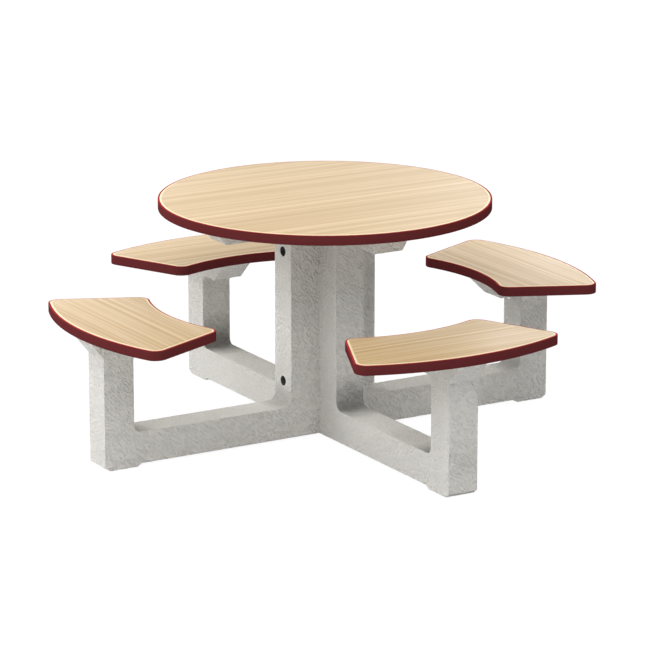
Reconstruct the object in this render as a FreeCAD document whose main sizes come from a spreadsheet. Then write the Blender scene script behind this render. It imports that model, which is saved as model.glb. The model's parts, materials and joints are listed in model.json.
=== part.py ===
import FreeCAD, Part
import math
import os
import Sketcher

# Round table with four fixed seats on a precast concrete base.
#
# The base is one full frame that runs from front to back and two half frames that butt against its
# sides, drawn together by two through rods. A round slab rests on the frames' upper arms and a curved
# slab on each seat post. Every slab is a core with a laminate above, a backer below and an edge band.
#
# Lengths are in millimetres and angles in degrees. The origin lies on the floor below the table's
# centre: +Z is up, +X to the right and +Y to the back.

PARTS_FOLDER = "parts"

SIZES = [
    ("table_height", 762.0, "floor to the top of the table"),
    ("table_diameter", 1047.5, "table slab over its edge band"),
    ("seat_height", 453.0, "floor to the top of a seat"),
    ("slab_thickness", 31.5, "table and seat slabs, top to underside"),
    ("seat_inner_radius", 556.5, "table axis to the seat's inner arc"),
    ("seat_outer_radius", 873.0, "table axis to the seat's outer arc"),
    ("seat_half_angle", 24.8, "half the angle that a seat spans"),
    ("seat_corner_radius", 38.0, "rounded corners of a seat in plan"),
    ("laminate_thickness", 2.0, "decorative sheet on a slab"),
    ("backer_thickness", 1.5, "balancing sheet below a slab"),
    ("band_thickness", 6.0, "wall of the edge band"),
    ("band_arris", 1.0, "chamfer along the band's outer edges"),
    ("bevel_width", 2.0, "trimmed rim of the laminate, in plan"),
    ("bevel_drop", 0.5, "trimmed rim of the laminate, in height"),
    ("frame_thickness", 102.0, "concrete frames, face to face"),
    ("frame_reach", 812.0, "table axis to a post's outer face"),
    ("column_reach", 153.0, "table axis to the column's outer face"),
    ("post_width", 102.0, "seat post along its frame"),
    ("rail_depth", 101.5, "floor rail, underside to top"),
    ("foot_lift", 9.5, "rail underside above the floor"),
    ("foot_length", 94.0, "flat of a foot on the floor"),
    ("toe_run", 17.0, "foot's outer bevel along the frame"),
    ("toe_rise", 11.5, "foot's outer bevel in height"),
    ("heel_run", 14.0, "slope from a foot up to the rail"),
    ("arm_reach", 381.5, "table axis to the end of an arm's underside"),
    ("arm_depth", 68.0, "arm below the table slab"),
    ("arm_splay", 49.0, "slant of an arm's end"),
    ("head_depth", 62.5, "post head below the seat slab"),
    ("head_ledge", 77.0, "head's underside inward of the post"),
    ("head_splay_in", 66.0, "slant of the head's inner end"),
    ("head_splay_out", 50.5, "slant of the head's outer end"),
    ("column_fillet", 27.0, "column to rail"),
    ("post_fillet", 21.0, "post to rail"),
    ("arm_fillet", 20.0, "column to arm"),
    ("head_fillet", 17.0, "post to head ledge"),
    ("arris", 1.5, "chamfer along the concrete edges"),
    ("rod_diameter", 16.0, "through rods between the frames"),
    ("rod_upper_drop", 126.5, "table slab's underside down to the upper rod"),
    ("rod_lower_rise", 73.0, "rail's top up to the lower rod"),
    ("rod_play", 1.0, "gap round a rod in the concrete"),
    ("rod_stub", 5.0, "rod beyond its nut"),
    ("recess_diameter", 32.0, "recess for a rod's nut"),
    ("recess_depth", 45.0, "recess from the column's face"),
    ("rod_washer_width", 30.0, "washer below a rod's nut, across its flats"),
    ("rod_washer_thickness", 3.0, "washer below a rod's nut"),
    ("rod_nut_width", 24.0, "rod nut across its flats"),
    ("rod_nut_height", 13.0, "rod nut"),
    ("bolt_width", 12.0, "slab bolts, across the flats of the shank"),
    ("bolt_play", 1.0, "gap round a bolt in the concrete"),
    ("bolt_head_width", 18.0, "bolt head across its flats"),
    ("bolt_head_height", 7.5, "bolt head"),
    ("washer_width", 24.0, "washer above a bolt head, across its flats"),
    ("washer_thickness", 2.5, "washer above a bolt head"),
    ("insert_width", 18.0, "threaded insert in a slab, across its flats"),
    ("insert_length", 20.0, "threaded insert in a slab"),
    ("arm_bolt_inset", 60.0, "column face to an arm's first bolt"),
    ("arm_bolt_pitch", 128.0, "first to second bolt of an arm"),
    ("seat_bolt_spacing", 52.0, "between the two bolts of a seat"),
]

ARMS = 4  # the table slab lies on four arms, a quarter turn apart
SEAT_ANGLES = {"right": 0.0, "back": 90.0, "left": 180.0, "front": 270.0}
HEX = 6  # sides of heads, nuts and inserts
SHANK = 8  # sides of the hidden bolts' shanks, with the washers and bores round them
ROD_BORE = 12  # sides of the rod washers, and of the bores round the rods
QUARTER_TURN = 90.0
TOLERANCE = 1e-4


class Size:
    """A measure, as the expression that a property is bound to and as its present number."""

    def __init__(self, text, number):
        self.text = text
        self.number = number

    def __add__(self, other):
        other = as_size(other)
        return Size(f"({self.text} + {other.text})", self.number + other.number)

    def __sub__(self, other):
        other = as_size(other)
        return Size(f"({self.text} - {other.text})", self.number - other.number)

    def __mul__(self, factor):
        return Size(f"({self.text} * {factor})", self.number * factor)

    def __truediv__(self, divisor):
        return Size(f"({self.text} / {divisor})", self.number / divisor)

    def __neg__(self):
        return Size(f"(-1 * {self.text})", -self.number)


def as_size(value):
    """A plain number as a Size, and a Size as it is."""
    return value if isinstance(value, Size) else Size(repr(float(value)), float(value))


ZERO = as_size(0)


def make_sheet(doc):
    """The spreadsheet of driving sizes, and a lookup from each alias to its Size."""
    sheet = doc.addObject("Spreadsheet::Sheet", "Sizes")
    for row, (alias, number, note) in enumerate(SIZES, start=1):
        sheet.set(f"A{row}", alias)
        sheet.set(f"B{row}", str(number))
        sheet.set(f"C{row}", note)
        sheet.setAlias(f"B{row}", alias)
    doc.recompute()
    return {alias: Size(f"Sizes.{alias}", number) for alias, number, _ in SIZES}


def bind(feature, name, size):
    """Ties one property of a feature to the sheet."""
    feature.setExpression(name, as_size(size).text)


def chord_half_width(radius, angle, inset):
    """Where a circle meets a line that runs inset from, and parallel to, the ray at an angle."""
    turn = f"({angle.text} * 1 deg - asin({inset.text} / {radius.text}))"
    half_turn = math.radians(angle.number) - math.asin(inset.number / radius.number)
    across = Size(f"({radius.text} * sin{turn})", radius.number * math.sin(half_turn))
    along = radius.number * math.cos(half_turn)
    return along, across


# ---------------------------------------------------------------- bodies and sketches


def new_body(doc, label):
    body = doc.addObject("PartDesign::Body", label)
    body.Label = label
    return body


def new_sketch(body, plane_role, lift=None):
    """A sketch on one of the body's origin planes, lifted off it by a Size if one is given."""
    sketch = body.newObject("Sketcher::SketchObject", "Outline")
    plane = next(f for f in body.Origin.OriginFeatures if f.Role == plane_role)
    sketch.AttachmentSupport = [(plane, "")]
    sketch.MapMode = "FlatFace"
    if lift is not None:
        bind(sketch, "AttachmentOffset.Base.z", lift)
    return sketch


def add_dimension(sketch, kind, element, point, size):
    """A horizontal or vertical distance from the sketch's origin to a point, tied to the sheet."""
    size = as_size(size)
    index = sketch.addConstraint(
        Sketcher.Constraint(kind, -1, 1, element, point, size.number)
    )
    if size is not ZERO:
        bind(sketch, f"Constraints[{index}]", size)


def draw_polygon(sketch, corners):
    """A closed outline of straight lines through corners, each held by its two distances."""
    first = sketch.GeometryCount
    count = len(corners)
    points = [FreeCAD.Vector(u.number, v.number, 0) for u, v in corners]
    for index in range(count):
        sketch.addGeometry(Part.LineSegment(points[index], points[(index + 1) % count]), False)
    for index in range(count):
        following = first + (index + 1) % count
        sketch.addConstraint(Sketcher.Constraint("Coincident", first + index, 2, following, 1))
    for line, (u, v) in enumerate(corners, start=first):
        add_dimension(sketch, "DistanceX", line, 1, u)
        add_dimension(sketch, "DistanceY", line, 1, v)


def draw_hexagons(sketch, centres, flats):
    """Equal hexagons, each with two corners on the line through its centre along X."""
    circumradius = flats / 2 / math.cos(math.pi / HEX)
    for u, v in centres:
        corners = []
        for corner in range(HEX):
            angle = math.tau * corner / HEX
            across, up = circumradius * math.cos(angle), circumradius * math.sin(angle)
            corners.append((as_size(u) + across, as_size(v) + up))
        draw_polygon(sketch, corners)


def draw_circles(sketch, centres, diameter):
    """Equal circles, each held by its centre and its diameter."""
    for u, v in centres:
        u, v = as_size(u), as_size(v)
        centre = FreeCAD.Vector(u.number, v.number, 0)
        normal = FreeCAD.Vector(0, 0, 1)
        circle = sketch.addGeometry(Part.Circle(centre, normal, diameter.number / 2), False)
        add_dimension(sketch, "DistanceX", circle, 3, u)
        add_dimension(sketch, "DistanceY", circle, 3, v)
        index = sketch.addConstraint(
            Sketcher.Constraint("Diameter", circle, diameter.number)
        )
        bind(sketch, f"Constraints[{index}]", diameter)


def pad(body, sketch, length, both_ways=False):
    feature = body.newObject("PartDesign::Pad", "Pad")
    feature.Profile = sketch
    feature.SideType = "Symmetric" if both_ways else "One side"
    bind(feature, "Length", length)
    return feature


def pocket(doc, body, sketch, length, both_ways=False):
    """Cuts a sketch into the body along the sketch's normal, or both ways from its plane."""
    doc.recompute()
    before = body.Shape.Volume
    feature = body.newObject("PartDesign::Pocket", "Pocket")
    feature.Profile = sketch
    feature.SideType = "Symmetric" if both_ways else "One side"
    feature.Reversed = not both_ways
    bind(feature, "Length", length)
    doc.recompute()
    if body.Shape.Volume > before - TOLERANCE:
        raise RuntimeError(f"{body.Label}: a pocket cuts nothing")
    return feature


def upright_edges(shape, places, axis):
    """Names of the edges that run along an axis through the given places across it."""
    across = [k for k in range(3) if k != axis]
    names = []
    for number, edge in enumerate(shape.Edges, start=1):
        ends = [vertex.Point for vertex in edge.Vertexes]
        if len(ends) != 2 or any(abs(ends[0][k] - ends[1][k]) > TOLERANCE for k in across):
            continue
        for u, v in places:
            if math.hypot(ends[0][across[0]] - u.number, ends[0][across[1]] - v.number) < 0.01:
                names.append(f"Edge{number}")
    return names


def fillet(doc, body, base, places, axis, radius):
    """Rounds the edges that run along an axis at the given places."""
    doc.recompute()
    names = upright_edges(base.Shape, places, axis)
    if len(names) != len(places):
        raise RuntimeError(f"{body.Label}: found {len(names)} of {len(places)} edges to round")
    feature = body.newObject("PartDesign::Fillet", "Fillet")
    feature.Base = (base, names)
    bind(feature, "Radius", radius)
    return feature


def outer_edges(shape, axis, place=None, joint=None):
    """Names of the outer edges of flat faces square to an axis, at one place on it if given.

    Edges that lie in a joint's plane, square to X, are left out.
    """
    names = []
    for face in shape.Faces:
        if not isinstance(face.Surface, Part.Plane):
            continue
        if abs(abs(face.Surface.Axis[axis]) - 1) > TOLERANCE:
            continue
        if place is not None and abs(face.CenterOfMass[axis] - place.number) > TOLERANCE:
            continue
        for edge in face.OuterWire.Edges:
            ends = edge.Vertexes
            if joint is not None and all(abs(v.X - joint.number) < TOLERANCE for v in ends):
                continue
            number = next(n for n, e in enumerate(shape.Edges, start=1) if e.isSame(edge))
            names.append(f"Edge{number}")
    return names


def bevel(doc, body, base, names, size, second_size=None):
    """Chamfers the named edges equally, or by a size down and a second size inwards."""
    doc.recompute()
    if not names:
        raise RuntimeError(f"{body.Label}: found no edge to bevel")
    feature = body.newObject("PartDesign::Chamfer", "Chamfer")
    feature.Base = (base, names)
    if second_size is not None:
        feature.ChamferType = "Two distances"
        bind(feature, "Size2", second_size)
    bind(feature, "Size", size)
    return feature


def turn(feature, angle):
    """Turns a sub-part about the table's axis."""
    feature.Placement = FreeCAD.Placement(
        FreeCAD.Vector(0, 0, 0), FreeCAD.Rotation(FreeCAD.Vector(0, 0, 1), angle)
    )


# ---------------------------------------------------------------- concrete frames


def half_outline(s, start):
    """Corners of half a frame from its lower to its upper inner corner, along and up the frame."""
    reach = s["frame_reach"]
    post_inner = reach - s["post_width"]
    toe = reach - s["toe_run"]
    heel = toe - s["foot_length"]
    rail_top = s["foot_lift"] + s["rail_depth"]
    seat_under = s["seat_height"] - s["slab_thickness"]
    ledge = seat_under - s["head_depth"]
    ledge_end = post_inner - s["head_ledge"]
    table_under = s["table_height"] - s["slab_thickness"]
    arm_under = table_under - s["arm_depth"]
    return [
        (start, s["foot_lift"]),
        (heel - s["heel_run"], s["foot_lift"]),
        (heel, ZERO),
        (toe, ZERO),
        (reach, s["toe_rise"]),
        (reach, ledge),
        (reach + s["head_splay_out"], seat_under),
        (ledge_end - s["head_splay_in"], seat_under),
        (ledge_end, ledge),
        (post_inner, ledge),
        (post_inner, rail_top),
        (s["column_reach"], rail_top),
        (s["column_reach"], arm_under),
        (s["arm_reach"], arm_under),
        (s["arm_reach"] + s["arm_splay"], table_under),
        (start, table_under),
    ]


def inner_corners(s):
    """The four hollow corners of half a frame, each with its fillet radius."""
    post_inner = s["frame_reach"] - s["post_width"]
    rail_top = s["foot_lift"] + s["rail_depth"]
    ledge = s["seat_height"] - s["slab_thickness"] - s["head_depth"]
    arm_under = s["table_height"] - s["slab_thickness"] - s["arm_depth"]
    return [
        ((s["column_reach"], rail_top), s["column_fillet"]),
        ((post_inner, rail_top), s["post_fillet"]),
        ((s["column_reach"], arm_under), s["arm_fillet"]),
        ((post_inner, ledge), s["head_fillet"]),
    ]


def arm_bolt_places(s):
    """Distances from the table's axis to the bolts of one arm."""
    first = s["column_reach"] + s["arm_bolt_inset"]
    return [first, first + s["arm_bolt_pitch"]]


def rod_heights(s):
    """Heights of the lower and the upper through rod."""
    lower = s["foot_lift"] + s["rail_depth"] + s["rod_lower_rise"]
    upper = s["table_height"] - s["slab_thickness"] - s["rod_upper_drop"]
    return [lower, upper]


def seat_bolt_place(s):
    """Distance from the table's axis to a seat's bolts, at the middle of the head's ledge."""
    return s["frame_reach"] - s["post_width"] - s["head_ledge"] / 2


def cut_bolt_holes(doc, body, s, sides):
    """Upright holes through the arms and the ledges of a frame, on each given side of its middle."""
    table_under = s["table_height"] - s["slab_thickness"]
    seat_under = s["seat_height"] - s["slab_thickness"]
    hole = s["bolt_width"] + s["bolt_play"] * 2
    half_spacing = s["seat_bolt_spacing"] / 2
    places = arm_bolt_places(s)
    ledge_place = seat_bolt_place(s)
    arm_sketch = new_sketch(body, "XY_Plane", table_under - s["arm_depth"])
    draw_circles(arm_sketch, [(side(p), ZERO) for side in sides for p in places], hole)
    pocket(doc, body, arm_sketch, s["arm_depth"])
    ledge_sketch = new_sketch(body, "XY_Plane", seat_under - s["head_depth"])
    centres = [(side(ledge_place), v) for side in sides for v in (half_spacing, -half_spacing)]
    draw_circles(ledge_sketch, centres, hole)
    pocket(doc, body, ledge_sketch, s["head_depth"])


def outward(size):
    """A distance on the side of a frame that its half outline is drawn on."""
    return size


def mirrored(size):
    """The same distance on a full frame's other side."""
    return -size


def round_and_bevel(doc, body, s, base, sides, joint=None):
    """Rounds a frame's hollow corners and takes the sharp arris off its two faces."""
    for (u, v), radius in inner_corners(s):
        base = fillet(doc, body, base, [(side(u), v) for side in sides], 1, radius)
    doc.recompute()
    return bevel(doc, body, base, outer_edges(base.Shape, 1, joint=joint), s["arris"])


def build_main_frame(doc, s):
    """The full frame, drawn along X and turned to run from front to back."""
    body = new_body(doc, "main_frame")
    half = half_outline(s, ZERO)[1:-1]
    sketch = new_sketch(body, "XZ_Plane")
    draw_polygon(sketch, half + [(-u, v) for u, v in reversed(half)])
    base = pad(body, sketch, s["frame_thickness"], both_ways=True)
    sides = (outward, mirrored)
    round_and_bevel(doc, body, s, base, sides)
    rods = new_sketch(body, "XZ_Plane")
    rod_hole = s["rod_diameter"] + s["rod_play"] * 2
    draw_circles(rods, [(ZERO, z) for z in rod_heights(s)], rod_hole)
    pocket(doc, body, rods, s["frame_thickness"], both_ways=True)
    cut_bolt_holes(doc, body, s, sides)
    turn(body, QUARTER_TURN)
    return body


def build_half_frame(doc, s, label, angle):
    """A half frame that butts against the full frame's side, with its two rod holes and recesses."""
    body = new_body(doc, label)
    start = s["frame_thickness"] / 2
    sketch = new_sketch(body, "XZ_Plane")
    draw_polygon(sketch, half_outline(s, start))
    base = pad(body, sketch, s["frame_thickness"], both_ways=True)
    round_and_bevel(doc, body, s, base, (outward,), start)
    for diameter, near, far in (
        (s["rod_diameter"] + s["rod_play"] * 2, start, s["column_reach"]),
        (s["recess_diameter"], s["column_reach"] - s["recess_depth"], s["column_reach"]),
    ):
        holes = new_sketch(body, "YZ_Plane", near)
        draw_circles(holes, [(ZERO, z) for z in rod_heights(s)], diameter)
        pocket(doc, body, holes, far - near)
    cut_bolt_holes(doc, body, s, (outward,))
    turn(body, angle)
    return body


# ---------------------------------------------------------------- slabs


def draw_sector(sketch, s, inset):
    """A seat's outline, an arc-ended sector about the table's axis, drawn inset all round."""
    inner = s["seat_inner_radius"] + inset
    outer = s["seat_outer_radius"] - inset
    centre = FreeCAD.Vector(0, 0, 0)
    normal = FreeCAD.Vector(0, 0, 1)
    ends = {}
    for name, radius in (("inner", inner), ("outer", outer)):
        ends[name] = chord_half_width(radius, s["seat_half_angle"], inset)
    for name, radius in (("inner", inner), ("outer", outer)):
        along, across = ends[name]
        half_turn = math.atan2(across.number, along)
        circle = Part.Circle(centre, normal, radius.number)
        arc = sketch.addGeometry(Part.ArcOfCircle(circle, -half_turn, half_turn), False)
        sketch.addConstraint(Sketcher.Constraint("Coincident", arc, 3, -1, 1))
        index = sketch.addConstraint(Sketcher.Constraint("Radius", arc, radius.number))
        bind(sketch, f"Constraints[{index}]", radius)
        add_dimension(sketch, "DistanceY", arc, 1, -across)
        add_dimension(sketch, "DistanceY", arc, 2, across)
    for arc_end, sign in ((1, -1), (2, 1)):
        (inner_x, inner_y), (outer_x, outer_y) = ends["inner"], ends["outer"]
        line = sketch.addGeometry(
            Part.LineSegment(
                FreeCAD.Vector(inner_x, sign * inner_y.number, 0),
                FreeCAD.Vector(outer_x, sign * outer_y.number, 0),
            ),
            False,
        )
        sketch.addConstraint(Sketcher.Constraint("Coincident", line, 1, 0, arc_end))
        sketch.addConstraint(Sketcher.Constraint("Coincident", line, 2, 1, arc_end))


def sector_corners(s, inset):
    """The four corners of the outline that draw_sector makes."""
    corners = []
    for radius in (s["seat_inner_radius"] + inset, s["seat_outer_radius"] - inset):
        along, across = chord_half_width(radius, s["seat_half_angle"], inset)
        corners += [(as_size(along), across), (as_size(along), -across)]
    return corners


def sector_sheet(doc, body, s, bottom, thickness):
    """A sheet with a seat's outline inside its edge band, its corners rounded to match the band."""
    sketch = new_sketch(body, "XY_Plane", bottom)
    draw_sector(sketch, s, s["band_thickness"])
    base = pad(body, sketch, thickness)
    corners = sector_corners(s, s["band_thickness"])
    return fillet(doc, body, base, corners, 2, s["seat_corner_radius"] - s["band_thickness"])


def disc_sheet(body, s, bottom, thickness):
    """A round sheet that fills the table's edge band."""
    sketch = new_sketch(body, "XY_Plane", bottom)
    draw_circles(sketch, [(ZERO, ZERO)], s["table_diameter"] - s["band_thickness"] * 2)
    return pad(body, sketch, thickness)


def cut_insert_holes(doc, body, s, bottom, centres, depth):
    """Holes that the threaded inserts fill, up into a slab from below."""
    sketch = new_sketch(body, "XY_Plane", bottom)
    draw_hexagons(sketch, centres, s["insert_width"])
    pocket(doc, body, sketch, depth)


def trim_rim(doc, body, s, base, top):
    """The laminate's bevelled rim, down to the top of the edge band."""
    doc.recompute()
    rim = outer_edges(base.Shape, 2, top)
    bevel(doc, body, base, rim, s["bevel_drop"], s["bevel_width"])


def build_slab(doc, s, name, top, make_sheet_body, centres):
    """Backer, core and laminate of one slab, one on the other below its top."""
    bottom = top - s["slab_thickness"]
    core_bottom = bottom + s["backer_thickness"]
    core_top = top - s["laminate_thickness"]
    backer = new_body(doc, f"{name}_backer")
    make_sheet_body(backer, bottom, s["backer_thickness"])
    cut_insert_holes(doc, backer, s, bottom, centres, s["backer_thickness"])
    core = new_body(doc, f"{name}_core")
    make_sheet_body(core, core_bottom, core_top - core_bottom)
    depth = s["insert_length"] - s["backer_thickness"]
    cut_insert_holes(doc, core, s, core_bottom, centres, depth)
    laminate = new_body(doc, f"{name}_laminate")
    face = make_sheet_body(laminate, core_top, s["laminate_thickness"])
    trim_rim(doc, laminate, s, face, top)
    return [backer, core, laminate]


def build_table_band(doc, s):
    """The ring round the table slab, turned from its section."""
    body = new_body(doc, "tabletop_edge_band")
    outer = s["table_diameter"] / 2
    inner = outer - s["band_thickness"]
    bottom = s["table_height"] - s["slab_thickness"]
    top = s["table_height"] - s["bevel_drop"]
    arris = s["band_arris"]
    sketch = new_sketch(body, "XZ_Plane")
    draw_polygon(
        sketch,
        [
            (inner, bottom),
            (outer - arris, bottom),
            (outer, bottom + arris),
            (outer, top - arris),
            (outer - arris, top),
            (inner, top),
        ],
    )
    ring = body.newObject("PartDesign::Revolution", "Ring")
    ring.Profile = sketch
    ring.ReferenceAxis = (sketch, ["V_Axis"])
    ring.Angle = 360.0
    return body


def build_seat_band(doc, s, name):
    """The band round a seat slab, a wall of even thickness that follows the seat's outline."""
    body = new_body(doc, f"{name}_edge_band")
    bottom = s["seat_height"] - s["slab_thickness"]
    height = s["slab_thickness"] - s["bevel_drop"]
    outline = new_sketch(body, "XY_Plane", bottom)
    draw_sector(outline, s, ZERO)
    pad(body, outline, height)
    opening = new_sketch(body, "XY_Plane", bottom)
    draw_sector(opening, s, s["band_thickness"])
    base = pocket(doc, body, opening, height)
    for inset in (s["band_thickness"], ZERO):
        radius = s["seat_corner_radius"] - inset
        base = fillet(doc, body, base, sector_corners(s, inset), 2, radius)
    doc.recompute()
    bevel(doc, body, base, outer_edges(base.Shape, 2), s["band_arris"])
    return body


def build_table_slab(doc, s):
    """The round slab: its sheets, held by bolts in four arms, and its edge band."""
    centres = []
    for place in arm_bolt_places(s):
        centres += [(place, ZERO), (-place, ZERO), (ZERO, place), (ZERO, -place)]

    def sheet(body, bottom, thickness):
        return disc_sheet(body, s, bottom, thickness)

    sheets = build_slab(doc, s, "tabletop", s["table_height"], sheet, centres)
    return sheets + [build_table_band(doc, s)]


def build_seat_slab(doc, s, side, angle):
    """One curved slab: its sheets, held by two bolts in the post's head, and its edge band."""
    half_spacing = s["seat_bolt_spacing"] / 2
    centres = [(seat_bolt_place(s), v) for v in (half_spacing, -half_spacing)]

    def sheet(body, bottom, thickness):
        return sector_sheet(doc, body, s, bottom, thickness)

    name = f"seat_{side}"
    bodies = build_slab(doc, s, name, s["seat_height"], sheet, centres)
    bodies.append(build_seat_band(doc, s, name))
    for body in bodies:
        turn(body, angle)
    return bodies


# ---------------------------------------------------------------- fasteners


def cylinder(doc, diameter, height, place, along_x=False):
    """A cylinder from a place upwards, or to +X."""
    solid = doc.addObject("Part::Cylinder", "Cylinder")
    bind(solid, "Radius", diameter / 2)
    bind(solid, "Height", height)
    put(solid, place, along_x)
    return solid


def prism(doc, sides, flats, height, place, along_x=False):
    """A regular prism of a number of sides, from a place upwards or to +X."""
    solid = doc.addObject("Part::Prism", "Prism")
    solid.Polygon = sides
    bind(solid, "Circumradius", flats / 2 / math.cos(math.pi / sides))
    bind(solid, "Height", height)
    put(solid, place, along_x)
    return solid


def put(solid, place, along_x):
    """Ties a primitive's place to the sheet."""
    if along_x:
        solid.Placement.Rotation = FreeCAD.Rotation(FreeCAD.Vector(0, 1, 0), QUARTER_TURN)
    for axis, size in zip("xyz", place):
        bind(solid, f"Placement.Base.{axis}", size)


def cut(doc, base, tool):
    feature = doc.addObject("Part::Cut", "Cut")
    feature.Base = base
    feature.Tool = tool
    return feature


def fuse(doc, base, tool):
    feature = doc.addObject("Part::Fuse", "Fuse")
    feature.Base = base
    feature.Tool = tool
    return feature


def group(doc, label, solids):
    """Like fasteners together as one sub-part of separate solids."""
    compound = doc.addObject("Part::Compound", label)
    compound.Label = label
    compound.Links = solids
    return compound


def slab_fasteners(doc, s, name, slab_bottom, carrier_depth, places, angle):
    """Bolts, washers and inserts that hold a slab down on the concrete that carries it."""
    seat = slab_bottom - carrier_depth
    washer_bottom = seat - s["washer_thickness"]
    head_bottom = washer_bottom - s["bolt_head_height"]
    shank = slab_bottom + s["insert_length"] - washer_bottom
    bolts, washers, inserts = [], [], []
    for x, y in places:
        under, base = (x, y, washer_bottom), (x, y, slab_bottom)
        head = prism(doc, HEX, s["bolt_head_width"], s["bolt_head_height"], (x, y, head_bottom))
        bolts.append(fuse(doc, head, prism(doc, SHANK, s["bolt_width"], shank, under)))
        ring = prism(doc, SHANK, s["washer_width"], s["washer_thickness"], under)
        hole = prism(doc, SHANK, s["bolt_width"], s["washer_thickness"], under)
        washers.append(cut(doc, ring, hole))
        sleeve = prism(doc, HEX, s["insert_width"], s["insert_length"], base)
        bore = prism(doc, SHANK, s["bolt_width"], s["insert_length"], base)
        inserts.append(cut(doc, sleeve, bore))
    groups = [
        group(doc, f"{name}_bolts", bolts),
        group(doc, f"{name}_washers", washers),
        group(doc, f"{name}_inserts", inserts),
    ]
    for one in groups:
        turn(one, angle)
    return groups


def build_table_fasteners(doc, s):
    """Two bolts in each of the four arms."""
    places = []
    for place in arm_bolt_places(s):
        places += [(place, ZERO), (-place, ZERO), (ZERO, place), (ZERO, -place)]
    bottom = s["table_height"] - s["slab_thickness"]
    return slab_fasteners(doc, s, "tabletop", bottom, s["arm_depth"], places, 0.0)


def build_seat_fasteners(doc, s, side, angle):
    """Two bolts in the ledge of one post's head."""
    half_spacing = s["seat_bolt_spacing"] / 2
    places = [(seat_bolt_place(s), v) for v in (half_spacing, -half_spacing)]
    bottom = s["seat_height"] - s["slab_thickness"]
    return slab_fasteners(doc, s, f"seat_{side}", bottom, s["head_depth"], places, angle)


def build_rods(doc, s):
    """The two through rods, with a washer and a nut in each recess."""
    floor = s["column_reach"] - s["recess_depth"]
    washer = s["rod_washer_thickness"]
    nut = s["rod_nut_height"]
    end = floor + washer + nut + s["rod_stub"]
    rods, washers, nuts = [], [], []
    for z in rod_heights(s):
        rods.append(cylinder(doc, s["rod_diameter"], end * 2, (-end, ZERO, z), True))
        for washer_at, nut_at in (
            (floor, floor + washer),
            (-floor - washer, -floor - washer - nut),
        ):
            ring = prism(doc, ROD_BORE, s["rod_washer_width"], washer, (washer_at, ZERO, z), True)
            hole = prism(doc, ROD_BORE, s["rod_diameter"], washer, (washer_at, ZERO, z), True)
            washers.append(cut(doc, ring, hole))
            block = prism(doc, HEX, s["rod_nut_width"], nut, (nut_at, ZERO, z), True)
            thread = prism(doc, ROD_BORE, s["rod_diameter"], nut, (nut_at, ZERO, z), True)
            nuts.append(cut(doc, block, thread))
    return [
        group(doc, "frame_rods", rods),
        group(doc, "frame_rod_washers", washers),
        group(doc, "frame_rod_nuts", nuts),
    ]


# ---------------------------------------------------------------- assembly


def check(doc, parts):
    """Stops if a feature failed or a sub-part has no valid solid."""
    for feature in doc.Objects:
        if "Invalid" in feature.State or "Error" in feature.State:
            raise RuntimeError(f"{feature.Label} ({feature.Name}) failed: {feature.State}")
    for part in parts:
        if part.Shape.isNull() or not part.Shape.isValid() or not part.Shape.Solids:
            raise RuntimeError(f"{part.Label} has no valid solid")


def main():
    doc = FreeCAD.newDocument("TableWithSeats")
    s = make_sheet(doc)
    parts = [
        build_main_frame(doc, s),
        build_half_frame(doc, s, "right_half_frame", SEAT_ANGLES["right"]),
        build_half_frame(doc, s, "left_half_frame", SEAT_ANGLES["left"]),
    ]
    parts += build_rods(doc, s)
    parts += build_table_slab(doc, s)
    parts += build_table_fasteners(doc, s)
    for side, angle in SEAT_ANGLES.items():
        parts += build_seat_slab(doc, s, side, angle)
        parts += build_seat_fasteners(doc, s, side, angle)
    doc.recompute()
    check(doc, parts)
    os.makedirs(PARTS_FOLDER, exist_ok=True)
    for part in parts:
        part.Shape.exportStep(os.path.join(PARTS_FOLDER, f"{part.Label}.step"))
        print(f"{part.Label}: {len(part.Shape.Solids)} solid(s), {part.Shape.Volume:.0f} mm3")


main()
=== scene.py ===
"""Round table with four attached seats: precast concrete base, laminate slabs with burgundy edging.

Lengths are in metres, and angles in radians, apart from the lamps' in degrees. The frame is the
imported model's own: +Z up, the origin on the floor below the table's centre, the seats along +X, +Y,
-X and -Y.
"""

import json
import logging
import math
from contextlib import contextmanager
from dataclasses import dataclass, field
from enum import Enum
from typing import Callable, Iterator, Sequence

import bmesh
import bpy
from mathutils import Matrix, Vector


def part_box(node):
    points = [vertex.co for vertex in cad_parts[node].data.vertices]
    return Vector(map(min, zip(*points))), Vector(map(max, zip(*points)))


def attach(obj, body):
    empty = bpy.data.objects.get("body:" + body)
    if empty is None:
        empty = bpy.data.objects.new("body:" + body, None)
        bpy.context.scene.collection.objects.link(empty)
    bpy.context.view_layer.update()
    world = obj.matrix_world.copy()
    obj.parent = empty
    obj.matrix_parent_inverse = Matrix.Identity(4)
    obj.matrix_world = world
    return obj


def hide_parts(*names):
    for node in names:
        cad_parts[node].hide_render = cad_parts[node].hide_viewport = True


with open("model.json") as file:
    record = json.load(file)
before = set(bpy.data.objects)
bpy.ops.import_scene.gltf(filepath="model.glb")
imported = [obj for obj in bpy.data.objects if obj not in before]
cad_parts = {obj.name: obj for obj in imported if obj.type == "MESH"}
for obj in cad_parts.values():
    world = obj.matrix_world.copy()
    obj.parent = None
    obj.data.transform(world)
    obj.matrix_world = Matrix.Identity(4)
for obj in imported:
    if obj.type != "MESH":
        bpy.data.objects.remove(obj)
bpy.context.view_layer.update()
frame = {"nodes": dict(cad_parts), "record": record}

LOG = logging.getLogger("table")
BODY = "root"
NEAR = 1e-4  # how close two places are to count as the same
ALONG = 0.9  # the least part of a direction on an axis for it to count as along that axis
SQUARE = 0.1  # the most part of a direction on an axis for it to count as square to that axis
SEED_SIZE = 0.01  # the little plane that an outline's first point is merged from

Colour = tuple[float, float, float]
Test = Callable[[Vector, Vector], bool]

BLACK: Colour = (0.0, 0.0, 0.0)
WHITE: Colour = (1.0, 1.0, 1.0)


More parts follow.
